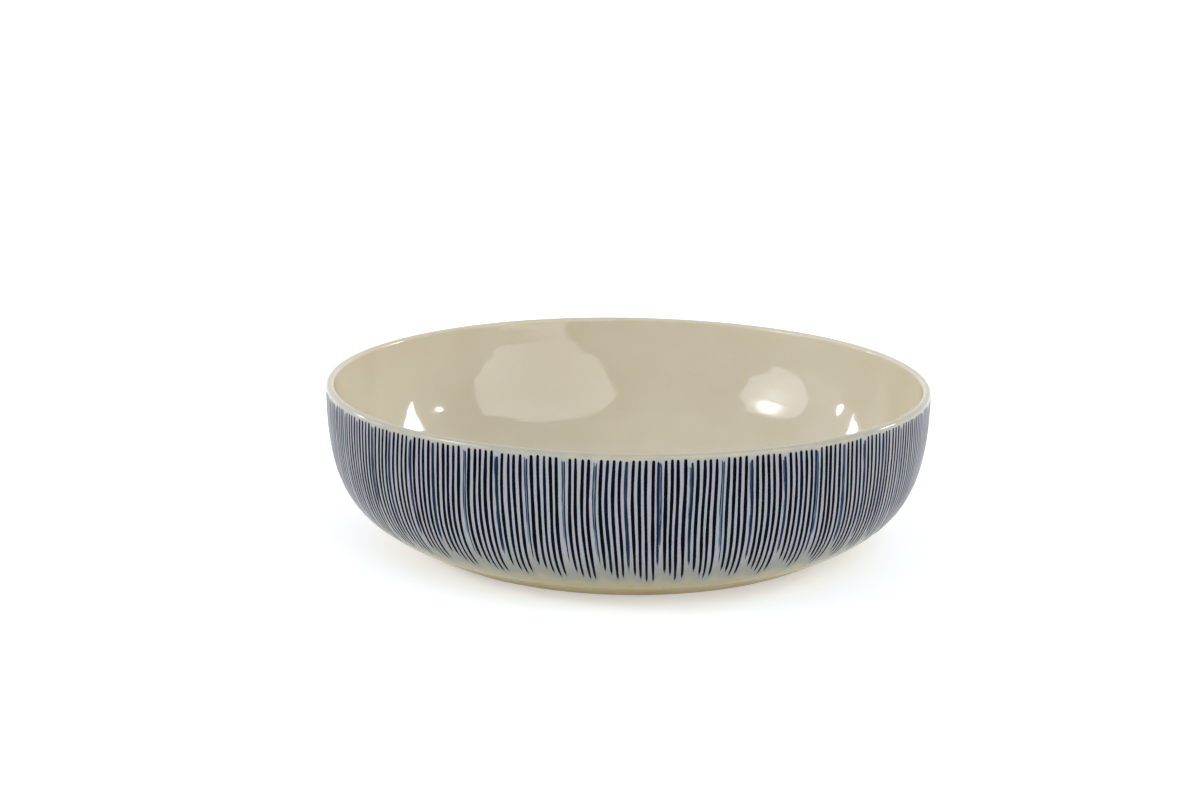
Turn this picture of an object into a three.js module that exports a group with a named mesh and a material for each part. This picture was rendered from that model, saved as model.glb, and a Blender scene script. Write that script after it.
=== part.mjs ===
// A wide, shallow porcelain serving bowl: a turned clay body on a low foot ring, a cream
// glaze inside and out, a pale blue wash round the outside and a band of upright brush
// strokes over it. Millimetres, +Z up, the origin at the middle of the standing ring.
//
// The bowl is fired into one piece and nothing on it moves. Each layer that a potter
// makes or lays on is a closed solid of revolution of its own, a little thicker than
// real glaze or paint, with a hairline gap to the layer under it.
import * as THREE from "three";

// Overall sizes
const RIM_DIAMETER = 300;
const HEIGHT = 80.5;
const RIM_THICKNESS = 4;

// The foot: the ring that stands on the table, and the glazed hollow inside it
const FOOT_DIAMETER = 205.4;
const FOOT_HEIGHT = 4;
const FOOT_WIDTH = 6.5;
const FOOT_EDGE = 0.8;
const FOOT_DRAFT = 1;
const UNDERSIDE_DIAMETER = 180;

// The floor inside
const FLOOR_TOP = 9;
const FLOOR_FLAT_DIAMETER = 176;

// How far each end of the two wall curves runs on before it bends: the outside flares up
// from the foot and comes upright below the lip, and the inside leaves the floor level and
// still leans out a little where it reaches the lip, so the wall thins towards the rim.
const FOOT_FLARE_OUT = 31.8;
const FOOT_FLARE_UP = 15.6;
const OUTSIDE_UPRIGHT = 55;
const FLOOR_RUN = 53;
const INSIDE_UPRIGHT = 14;
const INSIDE_LEAN = 2;

// Layers
const GLAZE = 0.4;
const PAINT = 0.2;
const GAP = 0.1;
const END_GAP = 0.3;

// Where the layers on the outside stop above the table: the glaze at a height, and the
// paint at a step of the wall
const GLAZE_LOW = 1;
const WASH_LOW_STEP = 2;
const STROKES_LOW_STEP = 3;

// Smoothness
const SIDES = 48;
const WALL_STEPS = 10;
const LIP_STEPS = 4;

const LIP_RADIUS = RIM_THICKNESS / 2;
const LIP_HEIGHT = HEIGHT - LIP_RADIUS;
const RIM_RADIUS = RIM_DIAMETER / 2;
const MOUTH_RADIUS = RIM_RADIUS - RIM_THICKNESS;
const FOOT_RADIUS = FOOT_DIAMETER / 2;
const FLOOR_FLAT_RADIUS = FLOOR_FLAT_DIAMETER / 2;

// How deep each layer lies, measured square to the finished outside of the wall
const WASH_DEPTH = PAINT + GAP;
const OUTER_GLAZE_DEPTH = WASH_DEPTH + PAINT + GAP;
const CLAY_DEPTH = OUTER_GLAZE_DEPTH + GLAZE + GAP;
const LINING_DEPTH = GLAZE + GAP;

// The finished outside: it leaves the table at a low slant and turns upright at the lip.
const outside = new THREE.CubicBezierCurve(
  new THREE.Vector2(FOOT_RADIUS, 0),
  new THREE.Vector2(FOOT_RADIUS + FOOT_FLARE_OUT, FOOT_FLARE_UP),
  new THREE.Vector2(RIM_RADIUS, LIP_HEIGHT - OUTSIDE_UPRIGHT),
  new THREE.Vector2(RIM_RADIUS, LIP_HEIGHT),
);

// The finished inside: it leaves the flat floor level and rises steeply to the lip.
const inside = new THREE.CubicBezierCurve(
  new THREE.Vector2(FLOOR_FLAT_RADIUS, FLOOR_TOP),
  new THREE.Vector2(FLOOR_FLAT_RADIUS + FLOOR_RUN, FLOOR_TOP),
  new THREE.Vector2(MOUTH_RADIUS - INSIDE_LEAN, LIP_HEIGHT - INSIDE_UPRIGHT),
  new THREE.Vector2(MOUTH_RADIUS, LIP_HEIGHT),
);

// A point of a curve, moved sideways: positive is to the left of the way it runs.
function beside(curve, station, depth) {
  const along = curve.getTangent(station);
  const left = new THREE.Vector2(-along.y, along.x);
  return curve.getPoint(station).addScaledVector(left, depth);
}

// Into the clay from the outside is to the left of its curve, and from the inside it is
// to the right.
function outsideAt(station, depth) {
  return beside(outside, station, depth);
}

function insideAt(station, depth) {
  return beside(inside, station, -depth);
}

// The station where a layer of one face of the wall reaches a height.
function stationAtHeight(layerAt, depth, height) {
  let low = 0;
  let high = 1;
  for (let halving = 0; halving < 40; halving++) {
    const middle = (low + high) / 2;
    if (layerAt(middle, depth).y < height) low = middle;
    else high = middle;
  }
  return (low + high) / 2;
}

// Stations from one end to the other, on the even steps that all layers share, so that
// their facets stay parallel.
function stationsBetween(first, last) {
  const stations = [first];
  for (let step = 1; step < WALL_STEPS; step++) {
    const station = step / WALL_STEPS;
    if (station > first + 1e-4 && station < last - 1e-4) stations.push(station);
  }
  stations.push(last);
  return stations;
}

// Points of a layer's face, from the foot upwards.
function wallFace(layerAt, depth, first, last) {
  return stationsBetween(first, last).map((station) => layerAt(station, depth));
}

// Points of a half circle over the lip, from the outside to the inside.
function lipArc(centreRadius, centreHeight, radius) {
  const points = [];
  for (let step = 0; step <= LIP_STEPS; step++) {
    const angle = (Math.PI * step) / LIP_STEPS;
    const across = centreRadius + radius * Math.cos(angle);
    points.push(new THREE.Vector2(across, centreHeight + radius * Math.sin(angle)));
  }
  return points;
}

function closed(points) {
  return [...points, points[0].clone()];
}

// A band on the outside of the wall, between two depths.
function outsideBand(outerDepth, innerDepth, first, last) {
  const face = wallFace(outsideAt, outerDepth, first, last);
  const back = wallFace(outsideAt, innerDepth, first, last).reverse();
  return closed([...face, ...back]);
}

// The clay between the two glazes, without the foot: floor, wall and lip in one.
function clayProfile() {
  const foot = stationAtHeight(outsideAt, CLAY_DEPTH, FOOT_HEIGHT);
  const wall = wallFace(outsideAt, CLAY_DEPTH, foot, 1);
  const lining = wallFace(insideAt, LINING_DEPTH, 0, 1).reverse();
  const lipOutside = wall.pop();
  const lipInside = lining.shift();
  const lipRadius = (lipOutside.x - lipInside.x) / 2;
  const lip = lipArc(lipInside.x + lipRadius, LIP_HEIGHT, lipRadius);
  const centreTop = new THREE.Vector2(0, FLOOR_TOP - LINING_DEPTH);
  const centreUnder = new THREE.Vector2(0, FOOT_HEIGHT);
  return [centreUnder, ...wall, ...lip, ...lining, centreTop];
}

// The low ring that the bowl stands on. Its side carries the slant of the wall down to
// the table, and its standing face is flat and bare, with the outer edge eased off.
function footProfile() {
  const top = FOOT_HEIGHT - END_GAP;
  const last = stationAtHeight(outsideAt, CLAY_DEPTH, top);
  const side = wallFace(outsideAt, CLAY_DEPTH, 0, last);
  const heel = new THREE.Vector2(side[0].x - FOOT_EDGE, 0);
  const innerFoot = new THREE.Vector2(heel.x - FOOT_WIDTH, 0);
  const innerTop = new THREE.Vector2(innerFoot.x - FOOT_DRAFT, top);
  return closed([innerFoot, heel, ...side, innerTop]);
}

// The cream lining, from the middle of the floor up to the lip.
function liningProfile() {
  const last = stationAtHeight(insideAt, 0, LIP_HEIGHT - END_GAP);
  const under = wallFace(insideAt, GLAZE, 0, last);
  const face = wallFace(insideAt, 0, 0, last).reverse();
  const centreUnder = new THREE.Vector2(0, FLOOR_TOP - GLAZE);
  const centreTop = new THREE.Vector2(0, FLOOR_TOP);
  return [centreUnder, ...under, ...face, centreTop];
}

// The glaze over the lip, which the linings of both sides run up to.
function lipProfile() {
  const centre = RIM_RADIUS - LIP_RADIUS;
  const over = lipArc(centre, LIP_HEIGHT, LIP_RADIUS);
  const under = lipArc(centre, LIP_HEIGHT, LIP_RADIUS - GLAZE).reverse();
  return closed([...over, ...under]);
}

// The glaze of the hollow under the floor, inside the foot ring.
function undersideProfile() {
  const edge = UNDERSIDE_DIAMETER / 2;
  const top = FOOT_HEIGHT - GAP;
  return [
    new THREE.Vector2(0, top - GLAZE),
    new THREE.Vector2(edge, top - GLAZE),
    new THREE.Vector2(edge, top),
    new THREE.Vector2(0, top),
  ];
}

const outsideTop = stationAtHeight(outsideAt, 0, LIP_HEIGHT - END_GAP);
const glazeFoot = stationAtHeight(outsideAt, OUTER_GLAZE_DEPTH, GLAZE_LOW);
const washFoot = WASH_LOW_STEP / WALL_STEPS;
const strokesFoot = STROKES_LOW_STEP / WALL_STEPS;

const layers = [
  {
    name: "clay_body",
    profile: clayProfile(),
    finish: { color: "#d9cfb9", roughness: 0.75, metalness: 0 },
  },
  {
    name: "foot_ring",
    profile: footProfile(),
    finish: { color: "#b9a488", roughness: 0.85, metalness: 0 },
  },
  {
    name: "inner_glaze",
    profile: liningProfile(),
    finish: { color: "#c8bfa8", roughness: 0.12, metalness: 0 },
  },
  {
    name: "lip_glaze",
    profile: lipProfile(),
    finish: { color: "#cfc5b4", roughness: 0.12, metalness: 0 },
  },
  {
    name: "outer_glaze",
    profile: outsideBand(OUTER_GLAZE_DEPTH, OUTER_GLAZE_DEPTH + GLAZE, glazeFoot, outsideTop),
    finish: { color: "#b4a88a", roughness: 0.15, metalness: 0 },
  },
  {
    name: "blue_wash",
    profile: outsideBand(WASH_DEPTH, WASH_DEPTH + PAINT, washFoot, outsideTop),
    finish: { color: "#a9adb6", roughness: 0.18, metalness: 0 },
  },
  {
    name: "brush_strokes",
    profile: outsideBand(0, PAINT, strokesFoot, outsideTop),
    finish: { color: "#1c2438", roughness: 0.2, metalness: 0 },
  },
  {
    name: "underside_glaze",
    profile: undersideProfile(),
    finish: { color: "#c3b99f", roughness: 0.2, metalness: 0 },
  },
];

// A lathe turns its profile round Y, so the group stands that axis up on +Z.
const bowl = new THREE.Group();
bowl.rotation.x = Math.PI / 2;
for (const { name, profile, finish } of layers) {
  const turned = new THREE.LatheGeometry(profile, SIDES);
  const mesh = new THREE.Mesh(turned, new THREE.MeshStandardMaterial(finish));
  mesh.name = name;
  bowl.add(mesh);
}

export default bowl;
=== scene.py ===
import math

import bpy
import numpy as np
from mathutils import Matrix, Vector


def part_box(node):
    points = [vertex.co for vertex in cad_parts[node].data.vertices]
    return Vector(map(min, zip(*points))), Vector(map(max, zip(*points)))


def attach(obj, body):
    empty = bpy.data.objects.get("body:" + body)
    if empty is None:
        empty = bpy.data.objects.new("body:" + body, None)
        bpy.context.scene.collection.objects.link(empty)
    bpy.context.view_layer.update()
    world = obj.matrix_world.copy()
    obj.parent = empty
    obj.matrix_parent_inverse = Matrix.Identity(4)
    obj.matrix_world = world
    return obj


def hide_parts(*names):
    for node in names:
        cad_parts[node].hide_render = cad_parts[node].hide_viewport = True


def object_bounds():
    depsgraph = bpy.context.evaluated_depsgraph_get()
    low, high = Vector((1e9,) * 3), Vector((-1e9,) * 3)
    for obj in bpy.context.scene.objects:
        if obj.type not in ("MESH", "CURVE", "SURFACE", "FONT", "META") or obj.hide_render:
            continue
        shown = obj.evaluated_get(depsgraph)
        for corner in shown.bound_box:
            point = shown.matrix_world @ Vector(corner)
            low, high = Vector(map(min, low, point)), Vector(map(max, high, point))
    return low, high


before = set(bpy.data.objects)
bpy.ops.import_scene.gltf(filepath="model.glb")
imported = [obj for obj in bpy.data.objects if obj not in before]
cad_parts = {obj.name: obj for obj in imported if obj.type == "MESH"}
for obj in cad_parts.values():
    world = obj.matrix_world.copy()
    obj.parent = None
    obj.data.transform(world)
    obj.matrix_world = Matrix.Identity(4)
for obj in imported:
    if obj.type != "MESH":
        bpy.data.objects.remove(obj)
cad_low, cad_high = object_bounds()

# A wide, shallow porcelain serving bowl: cream glaze inside, and outside a ring of upright
# blue-black brush strokes over a pale grey-blue wash. The shapes below are worked out in
# millimetres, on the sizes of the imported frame, and turned into metres when a mesh is made.
MM = 0.001
draw = np.random.default_rng(58)


# ---------------------------------------------------------------- sizes from the frame

def low(node):
    return np.array(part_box(node)[0]) / MM


def high(node):
    return np.array(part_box(node)[1]) / MM


RIM_RADIUS = high("lip_glaze")[0]
HEIGHT = high("lip_glaze")[2]
LIP_RADIUS = HEIGHT - low("lip_glaze")[2]
LIP_HEIGHT = HEIGHT - LIP_RADIUS
MOUTH_RADIUS = RIM_RADIUS - 2 * LIP_RADIUS
UNDERSIDE_RADIUS = high("underside_glaze")[0]
WASH_LOW = low("blue_wash")[2]
FLOOR_TOP = 9.0
FLOOR_FLAT_RADIUS = 88.0
FOOT_HEIGHT = 4.0
FOOT_RADIUS = 102.7
FOOT_WIDTH = 6.5
FOOT_EDGE = 0.8

# How far each end of the two wall curves runs on before it bends
FOOT_FLARE = (31.8, 15.6)
OUTSIDE_UPRIGHT = 55.0
FLOOR_RUN = 53.0
INSIDE_UPRIGHT = 14.0
INSIDE_LEAN = 2.0

# How deep the hidden side of each layer lies under the finished surface
COAT_DEPTH = 0.2
COAT_THICKNESS = 0.45
CLAY_DEPTH = 0.8


# ---------------------------------------------------------------- outline of the bowl

WALL_POINTS = 1200
LIP_POINTS = 120
FLOOR_POINTS = 100


def cubic(points, count):
    """Points along a cubic Bezier curve, evenly spaced in its parameter."""
    t = np.linspace(0, 1, count)[:, None]
    a, b, c, d = [np.array(p, float) for p in points]
    return (1 - t) ** 3 * a + 3 * (1 - t) ** 2 * t * b + 3 * (1 - t) * t**2 * c + t**3 * d


def lip_arc(radius, count):
    """Points over the lip, from its outside to its inside."""
    angles = np.linspace(0, math.pi, count)
    across = RIM_RADIUS - LIP_RADIUS + radius * np.cos(angles)
    return np.stack([across, LIP_HEIGHT + radius * np.sin(angles)], 1)


def bowl_outline():
    """Radius and height of the finished surface, from the foot up the outside, over the
    lip, down the inside and along the floor to the middle."""
    outside = cubic(
        [
            (FOOT_RADIUS, 0),
            (FOOT_RADIUS + FOOT_FLARE[0], FOOT_FLARE[1]),
            (RIM_RADIUS, LIP_HEIGHT - OUTSIDE_UPRIGHT),
            (RIM_RADIUS, LIP_HEIGHT),
        ],
        WALL_POINTS,
    )
    inside = cubic(
        [
            (MOUTH_RADIUS, LIP_HEIGHT),
            (MOUTH_RADIUS - INSIDE_LEAN, LIP_HEIGHT - INSIDE_UPRIGHT),
            (FLOOR_FLAT_RADIUS + FLOOR_RUN, FLOOR_TOP),
            (FLOOR_FLAT_RADIUS, FLOOR_TOP),
        ],
        WALL_POINTS,
    )
    floor_radii = np.linspace(FLOOR_FLAT_RADIUS, 0, FLOOR_POINTS)
    floor = np.stack([floor_radii, np.full(FLOOR_POINTS, FLOOR_TOP)], 1)
    lip = lip_arc(LIP_RADIUS, LIP_POINTS)
    return np.concatenate([outside, lip[1:], inside[1:], floor[1:]])


SKIN = bowl_outline()
SKIN_ALONG = np.r_[0, np.cumsum(np.hypot(*np.diff(SKIN, axis=0).T))]
SKIN_TANGENT = np.gradient(SKIN, SKIN_ALONG, axis=0)
SKIN_TANGENT /= np.hypot(*SKIN_TANGENT.T)[:, None]
SKIN_INTO = np.stack([-SKIN_TANGENT[:, 1], SKIN_TANGENT[:, 0]], 1)


def skin(along, depth=0.0):
    """Radius and height at a length along the outline, a depth under the surface."""
    columns = (SKIN[:, 0], SKIN[:, 1], SKIN_INTO[:, 0], SKIN_INTO[:, 1])
    radius, height, out, up = [np.interp(along, SKIN_ALONG, c) for c in columns]
    return radius + out * depth, height + up * depth


def up_outside(height):
    """Length along the outline at which the outside reaches a height."""
    return float(np.interp(height, SKIN[:WALL_POINTS, 1], SKIN_ALONG[:WALL_POINTS]))


LIP_START = SKIN_ALONG[WALL_POINTS - 1]
LIP_END = LIP_START + math.pi * LIP_RADIUS
PAST_LIP = WALL_POINTS + 200
WALL_END = float(np.interp(-FLOOR_FLAT_RADIUS, -SKIN[PAST_LIP:, 0], SKIN_ALONG[PAST_LIP:]))
SKIN_END = float(SKIN_ALONG[-1])


def face_of(start, end, depth, count):
    return np.stack(skin(np.linspace(start, end, count), depth), 1)


# ---------------------------------------------------------------- the hand of the potter

# How far the bowl is out of round and out of level, and how deep its finger ripples are
OVAL = 0.22
RIM_DIP = 0.14
RIPPLE = 0.015


def place(theta, radius, height):
    """A point of the thrown bowl in metres: a little out of round, with a rim that is not
    quite level and faint ripples left by the fingers. Theta 0 faces the camera."""
    theta, radius, height = np.broadcast_arrays(theta, radius, height)
    rise = np.clip(height / HEIGHT, 0, 1)
    oval = OVAL * (0.6 * np.cos(2 * theta + 0.7) + 0.4 * np.cos(3 * theta + 2.1) - 1)
    ripple = RIPPLE * np.sin(height * 0.9 + theta) * 4 * rise * (1 - rise)
    dip = RIM_DIP * (0.6 * np.cos(2 * theta - 0.4) + 0.4 * np.cos(5 * theta + 1.3) - 1)
    grown = radius + (oval * rise + ripple) * np.clip(radius / RIM_RADIUS, 0, 1)
    lifted = height + dip * rise**3
    return np.stack([grown * np.sin(theta), -grown * np.cos(theta), lifted], -1) * MM


# ---------------------------------------------------------------- meshes

def mesh_piece(name, points, faces, uv=None, smooth=True):
    """A new object of these points and faces, with a map for baking if one is given."""
    mesh = bpy.data.meshes.new(name)
    mesh.from_pydata(points.tolist(), [], faces)
    mesh.polygons.foreach_set("use_smooth", [smooth] * len(mesh.polygons))
    if uv is not None:
        layer = mesh.uv_layers.new(name="OFBake")
        layer.data.foreach_set("uv", np.asarray(uv, float).ravel())
    piece = bpy.data.objects.new(name, mesh)
    bpy.context.scene.collection.objects.link(piece)
    return piece


def set_sharp(mesh, is_sharp):
    """Marks edges as sharp by a rule on the numbers of their two points."""
    pairs = np.zeros(len(mesh.edges) * 2, int)
    mesh.edges.foreach_get("vertices", pairs)
    first, second = pairs.reshape(-1, 2).T
    layer = mesh.attributes.new("sharp_edge", "BOOLEAN", "EDGE")
    layer.data.foreach_set("value", is_sharp(first, second))


def turned(name, front, back, sides, front_share=0.92):
    """A closed body of revolution. Its profile runs along front and comes back along back,
    and it may start or end on the axis. The edges where the front starts and ends are
    sharp. Front gets most of the map for baking."""
    profile = np.concatenate([front, back])
    on_axis = profile[:, 0] < 1e-6
    count = len(profile)
    theta = np.linspace(0, 2 * np.pi, sides, endpoint=False)
    points = []
    rows = []
    ring_of_point = []
    for ring, ((radius, height), pole) in enumerate(zip(profile, on_axis)):
        start = len(points)
        rows.append([start] * sides if pole else range(start, start + sides))
        points.extend([place(0.0, 0.0, height)] if pole else place(theta, radius, height))
        ring_of_point.extend([ring] * (1 if pole else sides))
    v = map_heights(profile, len(front), front_share)
    faces = []
    uv = []
    for i in range(count):
        j = (i + 1) % count
        if on_axis[i] and on_axis[j]:
            continue
        for k in range(sides):
            m = (k + 1) % sides
            u0, u1 = k / sides, (k + 1) / sides
            corners = [
                (rows[i][k], (u0, v[i])),
                (rows[i][m], (u1, v[i])),
                (rows[j][m], (u1, v[i + 1])),
                (rows[j][k], (u0, v[i + 1])),
            ]
            if on_axis[i]:
                corners.pop(1)
            elif on_axis[j]:
                corners.pop(2)
            faces.append([c[0] for c in corners])
            uv.extend(c[1] for c in corners)
    piece = mesh_piece(name, np.array(points), faces, uv)
    ring = np.array(ring_of_point)
    corner = np.isin(ring, [0, len(front) - 1])
    set_sharp(piece.data, lambda a, b: (ring[a] == ring[b]) & corner[a])
    return piece


def map_heights(profile, front_count, front_share):
    """Heights on the baking map of a turned profile, with most of it for the front."""
    steps = np.hypot(*np.diff(profile, axis=0).T)
    edge = front_count - 1
    v = np.zeros(len(profile) + 1)
    v[1 : edge + 1] = np.cumsum(steps[:edge]) / steps[:edge].sum() * front_share
    rest = np.r_[steps[edge:], np.hypot(*(profile[0] - profile[-1]))]
    v[edge + 1 :] = front_share + np.cumsum(rest) / rest.sum() * (1 - front_share)
    return v


def stands_for(piece, node):
    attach(piece, "root")
    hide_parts(node)


# ---------------------------------------------------------------- materials

def srgb(red, green, blue):
    """A colour as seen on a screen, 0 to 255, as the linear colour that shaders use."""
    values = []
    for value in (red, green, blue):
        c = value / 255
        values.append(c / 12.92 if c <= 0.04045 else ((c + 0.055) / 1.055) ** 2.4)
    return (*values, 1.0)


class Nodes:
    """Short ways to add nodes to one material or world."""

    def __init__(self, owner):
        owner.use_nodes = True
        self.owner = owner
        self.tree = owner.node_tree

    def add(self, kind, **settings):
        node = self.tree.nodes.new("ShaderNode" + kind)
        for key, value in settings.items():
            setattr(node, key, value)
        return node

    def link(self, value, socket):
        if isinstance(value, bpy.types.NodeSocket):
            self.tree.links.new(value, socket)
        elif value is not None:
            socket.default_value = value

    def where(self, kind="Object"):
        return self.add("TexCoord").outputs[kind]

    def part(self, vector, axis):
        """One of the three numbers of a vector."""
        parts = self.add("SeparateXYZ")
        self.link(vector, parts.inputs[0])
        return parts.outputs[axis]

    def height(self):
        """Height above the table, in millimetres."""
        return self.math("MULTIPLY", self.part(self.where(), "Z"), 1 / MM)

    def radius(self):
        """Distance from the axis, in millimetres."""
        flat = self.add("VectorMath", operation="MULTIPLY")
        self.link(self.where(), flat.inputs[0])
        flat.inputs[1].default_value = (1 / MM, 1 / MM, 0)
        length = self.add("VectorMath", operation="LENGTH")
        self.link(flat.outputs[0], length.inputs[0])
        return length.outputs["Value"]

    def attribute(self, name):
        return self.add("Attribute", attribute_name=name).outputs["Fac"]

    def math(self, operation, a, b=None, clamp=False):
        node = self.add("Math", operation=operation, use_clamp=clamp)
        self.link(a, node.inputs[0])
        self.link(b, node.inputs[1])
        return node.outputs[0]

    def wrapped(self, rise):
        """A place on the outside of the wall, as metres round it and a share of the height."""
        where = self.where()
        back = self.math("MULTIPLY", self.part(where, "Y"), -1.0)
        turn = self.math("ARCTAN2", self.part(where, "X"), back)
        place = self.add("CombineXYZ")
        self.link(self.math("MULTIPLY", turn, RIM_RADIUS * MM), place.inputs["X"])
        self.link(self.math("MULTIPLY", self.part(where, "Z"), rise), place.inputs["Y"])
        return place.outputs[0]

    def noise(self, scale, detail=2.0, roughness=0.5, rise=None):
        """Soft noise from 0 to 1. Scale is in features per metre. With a rise below 1, it
        is drawn out up the wall."""
        node = self.add("TexNoise")
        self.link(self.where() if rise is None else self.wrapped(rise), node.inputs["Vector"])
        node.inputs["Scale"].default_value = scale
        node.inputs["Detail"].default_value = detail
        node.inputs["Roughness"].default_value = roughness
        return node.outputs["Fac"]

    def dots(self, scale, size, kept):
        """Small scattered round marks, 1 in the middle. Kept is the share of cells with
        one, and size is in cells."""
        cells = self.add("TexVoronoi", feature="F1")
        self.link(self.where(), cells.inputs["Vector"])
        cells.inputs["Scale"].default_value = scale
        near = self.ramp(cells.outputs["Distance"], (0, 1), (size, 0))
        chance = self.part(cells.outputs["Color"], "X")
        return self.math("MULTIPLY", near, self.math("LESS_THAN", chance, kept))

    def ramp(self, value, first, second, smooth=False):
        """Maps a value between two (value, result) stops, and holds it outside them."""
        (low_in, low_out), (high_in, high_out) = sorted([first, second])
        kind = "SMOOTHSTEP" if smooth else "LINEAR"
        node = self.add("MapRange", clamp=True, interpolation_type=kind)
        self.link(value, node.inputs["Value"])
        node.inputs["From Min"].default_value = low_in
        node.inputs["From Max"].default_value = high_in
        node.inputs["To Min"].default_value = low_out
        node.inputs["To Max"].default_value = high_out
        return node.outputs[0]

    def mix(self, factor, a, b):
        node = self.add("Mix", data_type="RGBA")
        self.link(factor, node.inputs[0])
        self.link(a, node.inputs[6])
        self.link(b, node.inputs[7])
        return node.outputs[2]

    def bump(self, value, strength, distance):
        node = self.add("Bump")
        node.inputs["Strength"].default_value = strength
        node.inputs["Distance"].default_value = distance
        self.link(value, node.inputs["Height"])
        return node.outputs[0]

    def finish(self, colour, roughness, normal=None, gloss=0.5):
        shader = self.tree.nodes["Principled BSDF"]
        self.link(colour, shader.inputs["Base Color"])
        self.link(roughness, shader.inputs["Roughness"])
        self.link(normal, shader.inputs["Normal"])
        shader.inputs["Specular IOR Level"].default_value = gloss
        return self.owner


def new_material(name):
    return Nodes(bpy.data.materials.new(name))


# Glaze, from the inside of the bowl to the table
CREAM = srgb(202, 194, 174)
CREAM_WARM = srgb(194, 184, 160)
# Lip colours, darker than the inside cream: painted shade on the lip, mottled grey and cream.
LIP_SHADED_CREAM = srgb(172, 166, 148)
LIP_SHADED_GREY = srgb(158, 157, 147)
FRINGE_CREAM = srgb(156, 150, 124)
OLIVE = srgb(160, 149, 108)
OLIVE_WARM = srgb(166, 149, 99)
# Brown for flecks in the cream glaze, and for painted shade on the outside towards the table.
BROWN_FLECK_AND_FOOT_SHADE = srgb(148, 120, 72)
IRON = srgb(92, 70, 46)

# Wash and strokes
WASH = srgb(150, 153, 157)
WASH_LILAC = srgb(153, 150, 158)
WASH_TEAL = srgb(143, 152, 151)
WASH_FOOT = srgb(135, 137, 125)
INK = srgb(3, 4, 10)
INK_BLUE = srgb(10, 30, 57)
INK_PALE = srgb(52, 86, 112)
TIP_GREY = srgb(92, 96, 110)

# How strongly the outside reflects: its satin glaze shows hardly any shine over the ink
OUTSIDE_GLOSS = 0.06
INSIDE_GLOSS = 0.7


def glaze_bump(nodes, strength=0.12):
    """The slow waviness of a thick glaze, and fine pinholes."""
    swell = nodes.noise(38, 1.5)
    peel = nodes.math("MULTIPLY", nodes.noise(420, 1.0), 0.06)
    pins = nodes.math("MULTIPLY", nodes.dots(230, 0.10, 0.05), 0.12)
    relief = nodes.math("SUBTRACT", nodes.math("ADD", swell, peel), pins)
    return nodes.bump(relief, strength, 0.0012)


def cream_colour(nodes):
    """Cream glaze with slow cloudy changes and a few rust-brown iron specks."""
    cloud = nodes.noise(14, 3.0, 0.55)
    base = nodes.mix(nodes.ramp(cloud, (0.35, 0), (0.7, 1)), CREAM, CREAM_WARM)
    fleck = nodes.noise(900, 1.0)
    base = nodes.mix(nodes.ramp(fleck, (0.6, 0), (0.8, 0.10)), base, BROWN_FLECK_AND_FOOT_SHADE)
    specks = nodes.dots(160, 0.075, 0.05)
    return nodes.mix(nodes.math("MULTIPLY", specks, 0.6), base, IRON)


def inner_glaze_material():
    nodes = new_material("cream_glaze")
    rough = nodes.ramp(nodes.noise(60, 2.0), (0.3, 0.05), (0.7, 0.09))
    return nodes.finish(cream_colour(nodes), rough, glaze_bump(nodes), INSIDE_GLOSS)


def lip_glaze_material():
    """Cream on the inside of the lip; over its outside, a darker cream mottled with grey, which is
    painted shade on the lip.
    """
    nodes = new_material("lip_glaze")
    across = nodes.radius()
    middle = RIM_RADIUS - LIP_RADIUS
    # Painted shade: from the middle of the lip outwards, its colour turns to the darker lip
    # colours.
    outer = nodes.ramp(across, (middle, 0), (RIM_RADIUS - 0.4, 1), smooth=True)
    grey_mottle = nodes.ramp(nodes.noise(120, 3.0), (0.35, 0), (0.7, 1))
    edge = nodes.mix(grey_mottle, LIP_SHADED_GREY, LIP_SHADED_CREAM)
    inner = nodes.ramp(across, (MOUTH_RADIUS + 0.2, 1), (middle, 0), smooth=True)
    colour = nodes.mix(outer, LIP_SHADED_CREAM, edge)
    colour = nodes.mix(inner, colour, cream_colour(nodes))
    rough = nodes.ramp(nodes.noise(90, 2.0), (0.3, 0.08), (0.7, 0.14))
    return nodes.finish(colour, rough, nodes.bump(nodes.noise(260, 2.0), 0.12, 0.0004))


def outer_cream_colour(nodes):
    """The plain band below the strokes: olive cream, darker and browner towards the table, which is
    painted shade.
    """
    height = nodes.height()
    cloud = nodes.noise(30, 3.0)
    base = nodes.mix(nodes.ramp(cloud, (0.35, 0), (0.7, 1)), OLIVE, OLIVE_WARM)
    base = nodes.mix(nodes.ramp(height, (7, 0), (15, 1)), base, FRINGE_CREAM)
    # Painted shade: the last 8 mm above the table turn darker and browner.
    foot_shade = nodes.ramp(height, (0.5, 0.7), (8, 0))
    return nodes.mix(foot_shade, base, BROWN_FLECK_AND_FOOT_SHADE)


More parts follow.
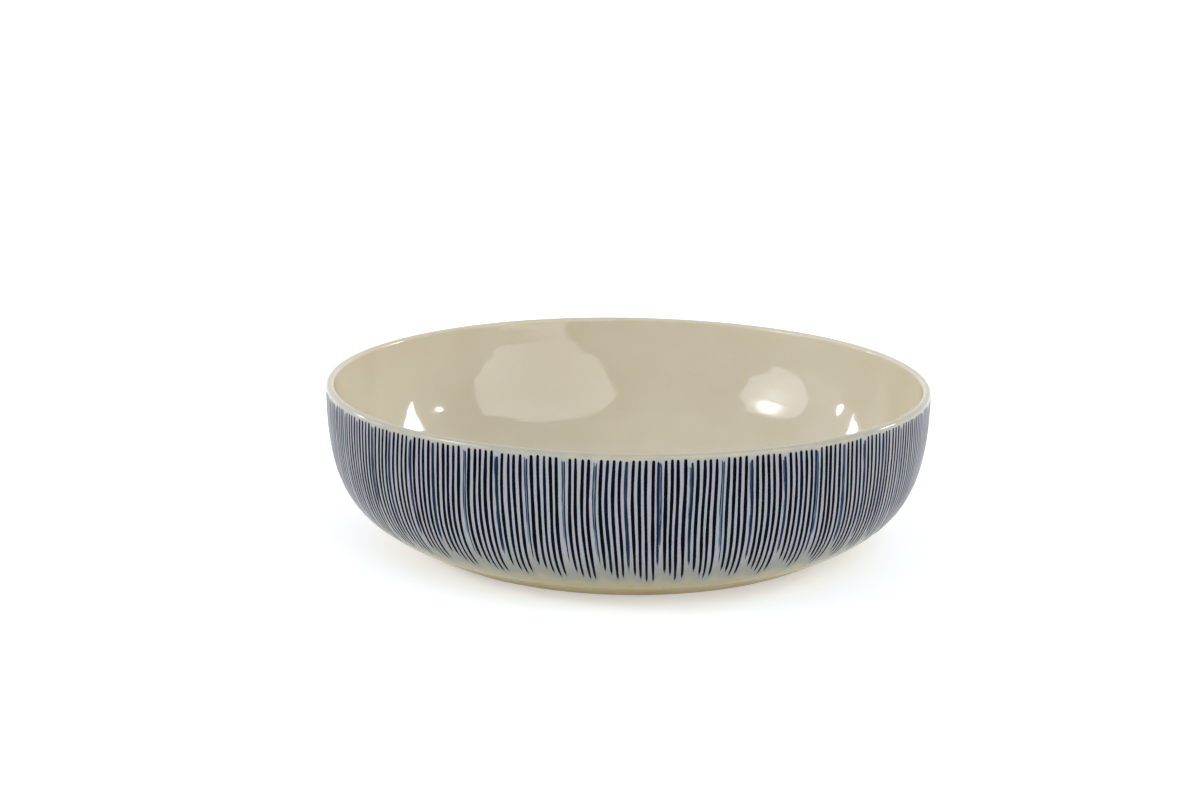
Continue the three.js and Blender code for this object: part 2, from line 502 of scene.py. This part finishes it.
def wash_colour(nodes):
    """Pale grey-blue between the strokes, fading into the darker lip colours at the top, which are
    painted shade, and into cream at the foot.
    """
    height = nodes.height()
    streak = nodes.noise(320, 1.0, rise=0.03)
    tone = nodes.noise(110, 2.0, rise=0.15)
    blue = nodes.mix(nodes.ramp(streak, (0.4, 0), (0.6, 1)), WASH, WASH_LILAC)
    blue = nodes.mix(nodes.ramp(tone, (0.5, 0), (0.7, 0.8)), blue, WASH_TEAL)
    ragged = nodes.math("MULTIPLY", nodes.noise(200, 2.0), 3.0)
    above = nodes.math("SUBTRACT", nodes.math("ADD", height, ragged), nodes.attribute("fringe"))
    foot_fade = nodes.ramp(above, (-4.0, 1), (2.0, 0), smooth=True)
    grey_fade = nodes.ramp(above, (2.0, 0.9), (18.0, 0), smooth=True)
    blue = nodes.mix(grey_fade, blue, WASH_FOOT)
    splash = nodes.math("MULTIPLY", nodes.dots(330, 0.09, 0.05), 0.55)
    blue = nodes.mix(splash, blue, INK_BLUE)
    colour = nodes.mix(foot_fade, blue, outer_cream_colour(nodes))
    # Painted shade: just under the lip, the wash turns to the darker lip colours.
    lip_fade = nodes.ramp(height, (LIP_HEIGHT - 2.4, 0), (LIP_HEIGHT - 0.2, 1), smooth=True)
    edge = nodes.mix(nodes.ramp(nodes.noise(120, 3.0), (0.35, 0), (0.7, 1)), LIP_SHADED_GREY, LIP_SHADED_CREAM)
    return nodes.mix(lip_fade, colour, edge)


def wash_material():
    nodes = new_material("pale_blue_wash")
    rough = nodes.ramp(nodes.noise(70, 2.0), (0.3, 0.10), (0.7, 0.17))
    return nodes.finish(wash_colour(nodes), rough, glaze_bump(nodes, 0.08), OUTSIDE_GLOSS)


def outer_glaze_material():
    nodes = new_material("outer_cream_glaze")
    rough = nodes.ramp(nodes.noise(70, 2.0), (0.3, 0.28), (0.7, 0.4))
    return nodes.finish(outer_cream_colour(nodes), rough, glaze_bump(nodes, 0.08), OUTSIDE_GLOSS)


def underside_material():
    nodes = new_material("underside_glaze")
    rough = nodes.ramp(nodes.noise(60, 2.0), (0.3, 0.12), (0.7, 0.2))
    return nodes.finish(cream_colour(nodes), rough, glaze_bump(nodes))


def stroke_material():
    """Blue-black colour under the glaze. Ink is how much of it there is, and dilution how
    watered it is: both are kept on the mesh, stroke by stroke."""
    nodes = new_material("dark_blue_strokes")
    pool = nodes.ramp(nodes.noise(260, 3.0, rise=0.2), (0.4, -0.06), (0.8, 0.07))
    thinner = nodes.math("ADD", nodes.attribute("dilution"), pool, clamp=True)
    dark = nodes.mix(nodes.ramp(thinner, (0.0, 0), (0.5, 1)), INK, INK_BLUE)
    dark = nodes.mix(nodes.ramp(thinner, (0.45, 0), (1.0, 1)), dark, INK_PALE)
    ground = nodes.mix(nodes.ramp(nodes.height(), (14, 0), (26, 1)), TIP_GREY, WASH)
    hairs = nodes.ramp(nodes.noise(2400, 1.0, rise=0.03), (0.36, 0.5), (0.56, 1))
    watery = nodes.ramp(nodes.attribute("dilution"), (0.3, 0), (0.9, 1))
    worn = nodes.math("MULTIPLY", nodes.math("SUBTRACT", 1.0, hairs), watery)
    ink = nodes.math("MULTIPLY", nodes.attribute("ink"), nodes.math("SUBTRACT", 1.0, worn))
    colour = nodes.mix(ink, ground, dark)
    rough = nodes.ramp(nodes.noise(70, 2.0), (0.3, 0.12), (0.7, 0.2))
    return nodes.finish(colour, rough, glaze_bump(nodes, 0.08), OUTSIDE_GLOSS / 3)


def clay_material(name, light, dark):
    nodes = new_material(name)
    grain = nodes.noise(700, 4.0, 0.6)
    patch = nodes.noise(40, 3.0)
    colour = nodes.mix(nodes.ramp(patch, (0.35, 0), (0.7, 1)), light, dark)
    colour = nodes.mix(nodes.ramp(grain, (0.5, 0), (0.8, 0.3)), colour, dark)
    rough = nodes.ramp(grain, (0.3, 0.62), (0.7, 0.85))
    return nodes.finish(colour, rough, nodes.bump(grain, 0.35, 0.0005), gloss=0.3)


# ---------------------------------------------------------------- the turned pieces

SIDES = 480
HIDDEN_SIDES = 160


def build_inner_glaze():
    wall = face_of(LIP_END, WALL_END, 0, 84)
    front = np.concatenate([wall, face_of(WALL_END, SKIN_END, 0, 14)[1:]])
    back = face_of(SKIN_END, LIP_END, COAT_THICKNESS, 14)
    piece = turned("inner_glaze_coat", front, back, SIDES, 0.94)
    piece.data.materials.append(inner_glaze_material())
    stands_for(piece, "inner_glaze")


def build_lip():
    front = face_of(LIP_START, LIP_END, 0, 33)
    back = face_of(LIP_END, LIP_START, 0.4, 12)
    piece = turned("lip_glaze_coat", front, back, SIDES, 0.8)
    piece.data.materials.append(lip_glaze_material())
    stands_for(piece, "lip_glaze")


def build_outer_glaze():
    start = up_outside(0.5)
    front = face_of(start, LIP_START, COAT_DEPTH, 60)
    back = face_of(LIP_START, start, COAT_DEPTH + COAT_THICKNESS, 12)
    piece = turned("outer_glaze_coat", front, back, SIDES)
    piece.data.materials.append(outer_glaze_material())
    stands_for(piece, "outer_glaze")


def build_clay():
    outer = face_of(up_outside(FOOT_HEIGHT) + 1, LIP_START, CLAY_DEPTH, 24)
    over = lip_arc(LIP_RADIUS - 0.8, 10)[1:-1]
    inner = face_of(LIP_END, SKIN_END, COAT_THICKNESS + 0.1, 40)
    under = np.array([[0, FOOT_HEIGHT], [outer[0][0] - 3, FOOT_HEIGHT]])
    front = np.concatenate([under, outer])
    piece = turned("clay_body_thrown", front, np.concatenate([over, inner]), HIDDEN_SIDES)
    piece.data.materials.append(clay_material("clay", srgb(220, 210, 190), srgb(196, 182, 156)))
    stands_for(piece, "clay_body")


def quarter(centre_radius, centre_height, size, start, end, count=6):
    """Points of a rounded edge, from one angle to another."""
    angles = np.radians(np.linspace(start, end, count))
    across = centre_radius + size * np.cos(angles)
    return np.stack([across, centre_height + size * np.sin(angles)], 1)


def build_foot():
    """The standing ring: flat and bare below, with both edges eased off."""
    side = face_of(0, up_outside(FOOT_HEIGHT + 0.4), 0.45, 9)
    heel = quarter(side[0][0] - FOOT_EDGE, FOOT_EDGE, FOOT_EDGE, -90, 0)
    inner = heel[0][0] - FOOT_WIDTH
    toe = quarter(inner, 0.6, 0.6, 180, 270, 5)
    front = np.concatenate([toe, [[inner + 3, 0]], heel, side[3:]])
    back = np.array([[inner - 1.6, FOOT_HEIGHT + 0.4]])
    piece = turned("foot_ring_turned", front, back, SIDES, 0.9)
    piece.data.materials.append(clay_material("bare_foot", srgb(190, 172, 142), srgb(150, 122, 88)))
    stands_for(piece, "foot_ring")


def build_underside():
    """The glazed hollow inside the foot ring, with the faint rings of the turning tool."""
    rings = np.linspace(0, UNDERSIDE_RADIUS, 40)
    ripple = 0.05 * np.sin(rings * 0.55) * np.exp(-rings / 60)
    face = np.stack([rings, FOOT_HEIGHT - 0.45 + ripple], 1)
    edge = np.array([[1.6, -0.7], [3.0, -1.2]]) + (UNDERSIDE_RADIUS, FOOT_HEIGHT)
    front = np.concatenate([face, edge])
    back = np.array([[UNDERSIDE_RADIUS + 3.8, FOOT_HEIGHT + 0.05], [0, FOOT_HEIGHT + 0.05]])
    piece = turned("underside_glaze_coat", front, back, 240)
    piece.data.materials.append(underside_material())
    stands_for(piece, "underside_glaze")


# ---------------------------------------------------------------- the brush strokes

STROKES_ROUND = 330
PITCH = 2 * math.pi / STROKES_ROUND
PITCH_WIDTH = PITCH * RIM_RADIUS
STROKE_STEPS = 44


def plan_strokes():
    """Every stroke in order round the bowl, as strands of colour. Each load of the brush
    starts with a watery blue stroke that stops high, then makes four or five dark ones
    whose ends step down in a slant."""
    strands = []
    slot = 0
    while slot < STROKES_ROUND:
        dark_count = min(int(draw.choice([4, 4, 5])), STROKES_ROUND - slot - 1)
        top = draw.normal(78.0, 0.2)
        end = draw.normal(16.2, 0.7)
        strands.extend(watery_stroke(slot, top, end + draw.uniform(8, 12)))
        step = draw.uniform(1.9, 2.6)
        for k in range(dark_count):
            above_lowest = abs(dark_count - 2 - k) * (step if k < dark_count - 2 else 1.2)
            strands.append(
                dict(
                    slot=slot + 1 + k + draw.normal(0, 0.045),
                    top=top + draw.normal(0, 0.14),
                    end=end + above_lowest + draw.normal(0, 0.35),
                    width=draw.normal(1.56, 0.07),
                    dilution=max(0.0, draw.normal(-0.04, 0.07)),
                )
            )
        slot += dark_count + 1
    return strands


def watery_stroke(slot, top, end):
    """The first stroke of a load, as one to four strands of thinner, bluer colour."""
    slot = slot + draw.normal(0, 0.06)
    kind = draw.choice(["deep", "streaky", "teal", "wide"], p=[0.28, 0.38, 0.22, 0.12])
    middle = draw.uniform(42, 58)

    def strand(offset, strand_top, strand_end, width, dilution, **more):
        at = slot + offset / PITCH_WIDTH
        return dict(slot=at, top=strand_top, end=strand_end, width=width, dilution=dilution, **more)

    if kind == "deep":
        tail = strand(0.1, end + 9, end - 3, 1.2, 0.95, ink=0.6, layer=0)
        return [tail, strand(0, top - 0.6, end, draw.uniform(1.6, 1.9), draw.uniform(0.28, 0.48))]
    if kind == "streaky":
        main = strand(0.25, top - draw.uniform(0.8, 2), end, draw.uniform(1.35, 1.6), 0.34)
        long = top - draw.uniform(20, 34)
        short = top - draw.uniform(12, 22)
        pale = strand(-0.4, top - draw.uniform(2, 3.5), long, 0.75, 0.9, layer=0)
        dark = strand(-0.85, top - draw.uniform(1.8, 3), short, 0.45, draw.uniform(0.4, 0.6))
        late = strand(-0.55, middle, middle - draw.uniform(7, 12), 0.5, 0.8, layer=0)
        return [pale, dark, late, main]
    if kind == "teal":
        pale_end = end + draw.uniform(4, 12)
        pale = strand(0, top - draw.uniform(1.5, 3), pale_end, 1.3, 0.95, ink=0.9, layer=0)
        left = strand(-0.55, top - 1.2, middle, 0.5, 0.3)
        right = strand(0.5, top - 1.6, end, 0.62, draw.uniform(0.25, 0.4))
        return [pale, left, right]
    block = strand(0.1, top - 1.4, end + 10, 2.2, 0.6, layer=0)
    dark = strand(-0.5, top - 0.8, end, 1.2, 0.3)
    side = strand(0.8, top - 2, middle - 6, 0.55, 0.35)
    streak = strand(0.35, top - 3, middle - 8, 0.35, 0.95, layer=2)
    return [block, dark, side, streak]


# How far a stroke at the side of the bowl leans for each millimetre of height, and the
# height where it is in its place
SPLAY = 0.09
SPLAY_MIDDLE = 61.0
# All strokes bend towards +X below a height, by BEND millimetres once BEND_REACH below it
BEND = 2.0
BEND_TOP = 62.0
BEND_REACH = 48.0


def sway(position, height):
    """Sideways shift of a stroke in millimetres, alike for its neighbours."""
    lean = BEND * np.clip((BEND_TOP - height) / BEND_REACH, 0, None) ** 2
    fan = SPLAY * (SPLAY_MIDDLE - height) * np.sin(position)
    level = height / 26
    wave = 0.28 * np.sin(position * 7 + level * 2.1) + 0.22 * np.sin(position * 17 - level * 3.1)
    return lean + fan + wave


def strand_sections(strand, index):
    """Length along the wall, sideways shift, half width, ink and dilution of a strand."""
    start = up_outside(min(strand["top"], LIP_HEIGHT - 0.05)) + max(0, strand["top"] - LIP_HEIGHT)
    length = start - up_outside(strand["end"])
    ends = np.linspace(0, 1, 8)[:-1] ** 1.6
    middle = np.linspace(0, 1, STROKE_STEPS - 14)
    down = np.r_[ends, 1.0 + middle * (length - 5.0), length - 4.0 * ends[::-1]]
    along = start - down
    height = skin(along)[1]
    t = down / length
    rounding = np.sqrt(np.clip(1 - (1 - np.clip(down / 0.8, 0, 1)) ** 2, 0, 1))
    opening = 0.78 + 0.22 * np.clip(down / 5.0, 0, 1)
    tail = np.sqrt(np.clip((length - down) / 4.5, 0, 1))
    uneven = 1 + 0.06 * np.sin(t * 9 + index * 1.7) + 0.05 * np.sin(t * 23 + index * 2.9)
    narrowing = np.interp(height, (14, 24, 38), (0.56, 0.76, 1.0))
    full = uneven * opening * narrowing * np.maximum(rounding * tail, 0.03)
    half = 0.5 * strand["width"] * full
    own_sway = 0.06 * np.sin(t * 6 + index * 4.1)
    shift = sway(strand["slot"] * PITCH, height) + own_sway
    fade = np.clip((length - down) / 3.5, 0, 1)
    ink = strand.get("ink", 1.0) * (0.4 + 0.6 * fade)
    thinning = 0.12 * np.clip(t - 0.8, 0, 1) / 0.2
    return along, shift, half, ink, np.clip(strand["dilution"] + thinning, 0, 1)


# How far a strand stands proud of the wash, and how far down its hidden root goes
EDGE_RISE, CROWN_RISE, LAYER_RISE, ROOT = 0.016, 0.028, 0.012, 0.05
EDGE_THINNING = 0.12


def build_strokes(strands):
    """Each strand is a closed sliver with a low crown between two edges."""
    points, faces, uv, inks, dilutions = [], [], [], [], []
    share = 1 / len(strands)
    for index, strand in enumerate(strands):
        along, shift, half, ink, dilution = strand_sections(strand, index)
        count = len(along)
        base = len(points)
        lift = LAYER_RISE * strand.get("layer", 1)
        columns = []
        rises = (EDGE_RISE + lift, CROWN_RISE + lift, EDGE_RISE + lift, -ROOT)
        for across, rise in zip((-1, 0, 1, 0), rises):
            radius, height = skin(along, -rise)
            theta = strand["slot"] * PITCH + (shift + across * half) / radius
            columns.append(place(theta, radius, height))
        points.extend(np.stack(columns, 1).reshape(-1, 3))
        edge = np.clip(dilution + EDGE_THINNING, 0, 1)
        dilutions.extend(np.stack([edge, dilution, edge, dilution], 1).ravel())
        inks.extend(np.repeat(ink, 4))
        u = (index + np.array([0.05, 0.35, 0.65, 0.8, 0.95])) * share
        v = np.linspace(0.99, 0.01, count)
        for k in range(count - 1):
            here = base + 4 * k
            for a in range(4):
                b = (a + 1) % 4
                faces.append([here + a, here + 4 + a, here + 4 + b, here + b])
                uv.extend([(u[a], v[k]), (u[a], v[k + 1]), (u[a + 1], v[k + 1]), (u[a + 1], v[k])])
        last = base + 4 * (count - 1)
        faces.append([base, base + 1, base + 2, base + 3])
        faces.append([last + 3, last + 2, last + 1, last])
        uv.extend([(u[0], v[0])] * 4 + [(u[0], v[-1])] * 4)
    piece = mesh_piece("brush_strokes_painted", np.array(points), faces, uv)
    for name, values in (("ink", inks), ("dilution", dilutions)):
        layer = piece.data.attributes.new(name, "FLOAT", "POINT")
        layer.data.foreach_set("value", np.array(values, float))
    set_sharp(piece.data, lambda a, b: (a % 4 == b % 4) & (a % 2 == 0))
    piece.data.materials.append(stroke_material())
    stands_for(piece, "brush_strokes")


# The wash stops along the ends of the strokes, but less jaggedly than they do
FRINGE_MIDDLE = 16.5
FRINGE_DEPTH = 0.55
# The height and the radius at which the ends of the strokes are placed for this, and the
# highest end that counts
FRINGE_HEIGHT = 18
FRINGE_RADIUS = 132
FRINGE_TOP = 26


def build_wash(strands):
    """The wash thins out to nothing at its lower edge, so that it ends without a step."""
    start = up_outside(WASH_LOW - 0.5)
    along = np.linspace(start, LIP_START, 80)
    depth = (COAT_DEPTH + 0.01) * (1 - np.clip((along - start) / 6, 0, 1)) ** 2
    front = np.stack(skin(along, depth), 1)
    back = face_of(LIP_START, start, COAT_DEPTH + 0.04, 60)
    piece = turned("blue_wash_coat", front, back, SIDES)
    mesh = piece.data
    dark = [s for s in strands if "layer" not in s and s["end"] < FRINGE_TOP]
    turns = [s["slot"] * PITCH for s in dark]
    where = np.array([turn + sway(turn, FRINGE_HEIGHT) / FRINGE_RADIUS for turn in turns])
    ends = np.array([s["end"] for s in dark])
    points = np.zeros(len(mesh.vertices) * 3)
    mesh.vertices.foreach_get("co", points)
    x, y, _ = points.reshape(-1, 3).T
    theta = np.arctan2(x, -y) % (2 * np.pi)
    layer = mesh.attributes.new("fringe", "FLOAT", "POINT")
    saw = np.interp(theta, where, ends, period=2 * np.pi)
    layer.data.foreach_set("value", FRINGE_MIDDLE + FRINGE_DEPTH * (saw - FRINGE_MIDDLE))
    mesh.materials.append(wash_material())
    stands_for(piece, "blue_wash")


# ---------------------------------------------------------------- studio

CAMERA_ELEVATION = 14.92
CAMERA_ROLL = 0.86
CAMERA_DISTANCE = 1.2
CAMERA_LENS = 71.6
CAMERA_SHIFT = (-0.0229, 0.0461)


def direction(azimuth, elevation):
    """Azimuth 0 is away from the camera along +Y, and 90 is towards +X."""
    a, e = math.radians(azimuth), math.radians(elevation)
    return Vector((math.sin(a) * math.cos(e), math.cos(a) * math.cos(e), math.sin(e)))


def build_camera():
    data = bpy.data.cameras.new("camera")
    data.lens = CAMERA_LENS
    data.sensor_width = 36
    data.shift_x, data.shift_y = CAMERA_SHIFT
    data.clip_end = 100
    camera = bpy.data.objects.new("camera", data)
    bpy.context.scene.collection.objects.link(camera)
    target = Vector((0, 0, (cad_low.z + cad_high.z) / 2))
    back = direction(180, CAMERA_ELEVATION)
    look = (-back).to_track_quat("-Z", "Y").to_matrix()
    turn = Matrix.Rotation(math.radians(CAMERA_ROLL), 3, "Z")
    where = Matrix.Translation(target + back * CAMERA_DISTANCE)
    camera.matrix_world = where @ (look @ turn).to_4x4()
    bpy.context.scene.camera = camera


# Each lamp is a flat panel with straight sides, like an octagonal softbox, all at one
# distance from the bowl. In order: how many sides, its azimuth and elevation seen from the
# bowl, its width and height in degrees across the corners, how far it is turned in its own
# plane, how bright it is beside the white floor at its middle and edge, and its colour.
LAMP_DISTANCE = 4.0
NEUTRAL = (1, 1, 1)
COOL = (0.95, 1, 1.06)
LAMPS = {
    "softbox": (8, (138, 30), (62, 65), 0, (2.2, 2.2), NEUTRAL),
    "umbrella": (8, (-109, 23), (33, 32), 0, (5, 3), COOL),
    "umbrella_core": (6, (-109, 30), (20, 12), 0, (22, 5), NEUTRAL),
    "flash_left": (6, (-75, 13), (2.5, 6), 0, (36, 20), NEUTRAL),
    "flash_right": (6, (84, 22), (4, 4), 0, (36, 20), NEUTRAL),
    "strip_left": (3, (-62, 15), (15, 7), 50, (24, 12), COOL),
    "strip_right": (3, (66, 19), (23, 14), 130, (24, 12), COOL),
}


def build_lamp(name, sides, towards, size, turn, radiance, colour):
    """A flat glowing panel that faces the bowl and that cameras do not see."""
    facing = direction(*towards)
    across = facing.cross(Vector((0, 0, 1))).normalized()
    up = across.cross(facing)
    middle = Vector((0, 0, cad_high.z * 0.6)) + facing * LAMP_DISTANCE
    half_width, half_height = [LAMP_DISTANCE * math.tan(math.radians(s / 2)) for s in size]
    points = []
    for k in range(sides):
        angle = 2 * math.pi * (k + 0.5) / sides
        corner = Vector((half_width * math.cos(angle), half_height * math.sin(angle)))
        corner.rotate(Matrix.Rotation(math.radians(turn), 2))
        points.append(middle + across * corner.x + up * corner.y)
    lamp = mesh_piece(name, np.array(points), [list(range(sides))], smooth=False)
    nodes = new_material(name)
    away = nodes.add("VectorMath", operation="DISTANCE")
    nodes.link(nodes.where(), away.inputs[0])
    away.inputs[1].default_value = middle
    reach = max((p - middle).length for p in points)
    edge_bright = (reach * 0.8, radiance[1])
    fall = nodes.ramp(away.outputs["Value"], (0, radiance[0]), edge_bright, smooth=True)
    glow = nodes.add("Emission")
    glow.inputs["Color"].default_value = (*colour, 1)
    nodes.link(fall, glow.inputs["Strength"])
    output = nodes.tree.nodes["Material Output"]
    nodes.link(glow.outputs[0], output.inputs["Surface"])
    lamp.data.materials.append(nodes.owner)
    lamp.visible_camera = False
    lamp.visible_shadow = False


# Brightness of the room: in front of the bowl and behind it, and what is added to these
# overhead and on the left
ROOM_FRONT = 0.42
ROOM_BACK = 1.1
ROOM_TOP = 0.3
ROOM_LEFT = 0.5


def build_world():
    nodes = Nodes(bpy.data.worlds.new("studio"))
    way = nodes.where("Generated")
    behind = nodes.ramp(nodes.part(way, "Y"), (0.0, 0), (0.95, 1), smooth=True)
    overhead = nodes.ramp(nodes.part(way, "Z"), (0.75, 0), (0.95, 1), smooth=True)
    around = nodes.ramp(behind, (0, ROOM_FRONT), (1, ROOM_BACK))
    left = nodes.ramp(nodes.part(way, "X"), (-0.9, 1), (-0.2, 0), smooth=True)
    top_light = nodes.math("MULTIPLY", overhead, ROOM_TOP)
    extra = nodes.math("ADD", top_light, nodes.math("MULTIPLY", left, ROOM_LEFT))
    background = nodes.tree.nodes["Background"]
    background.inputs["Color"].default_value = (1, 1, 1, 1)
    nodes.link(nodes.math("ADD", around, extra), background.inputs["Strength"])
    bpy.context.scene.world = nodes.owner


# The even glow of the floor, as on a light table, and half its width in metres
FLOOR_GLOW = 0.4
FLOOR_HALF = 20.0


def build_floor():
    """A plain pale floor that glows evenly, so that it stays white all over."""
    nodes = new_material("pale_floor")
    tone = nodes.ramp(nodes.noise(0.8, 2.0), (0.3, 0), (0.7, 1))
    colour = nodes.mix(tone, (0.76, 0.78, 0.82, 1), (0.79, 0.81, 0.85, 1))
    material = nodes.finish(colour, 0.9, gloss=0.1)
    shader = nodes.tree.nodes["Principled BSDF"]
    shader.inputs["Emission Color"].default_value = (0.96, 0.98, 1, 1)
    shader.inputs["Emission Strength"].default_value = FLOOR_GLOW
    half = FLOOR_HALF
    corners = np.array([(-half, -half, 0), (half, -half, 0), (half, half, 0), (-half, half, 0)])
    floor = mesh_piece("floor", corners, [[0, 1, 2, 3]], smooth=False)
    floor.data.materials.append(material)


# ---------------------------------------------------------------- build

strands = plan_strokes()
build_camera()
build_clay()
build_foot()
build_inner_glaze()
build_lip()
build_outer_glaze()
build_wash(strands)
build_strokes(strands)
build_underside()
build_world()
for lamp_name, lamp_facts in LAMPS.items():
    build_lamp(lamp_name, *lamp_facts)
build_floor()

bpy.context.scene.view_settings.view_transform = "Standard"
bpy.context.scene.view_settings.look = "None"
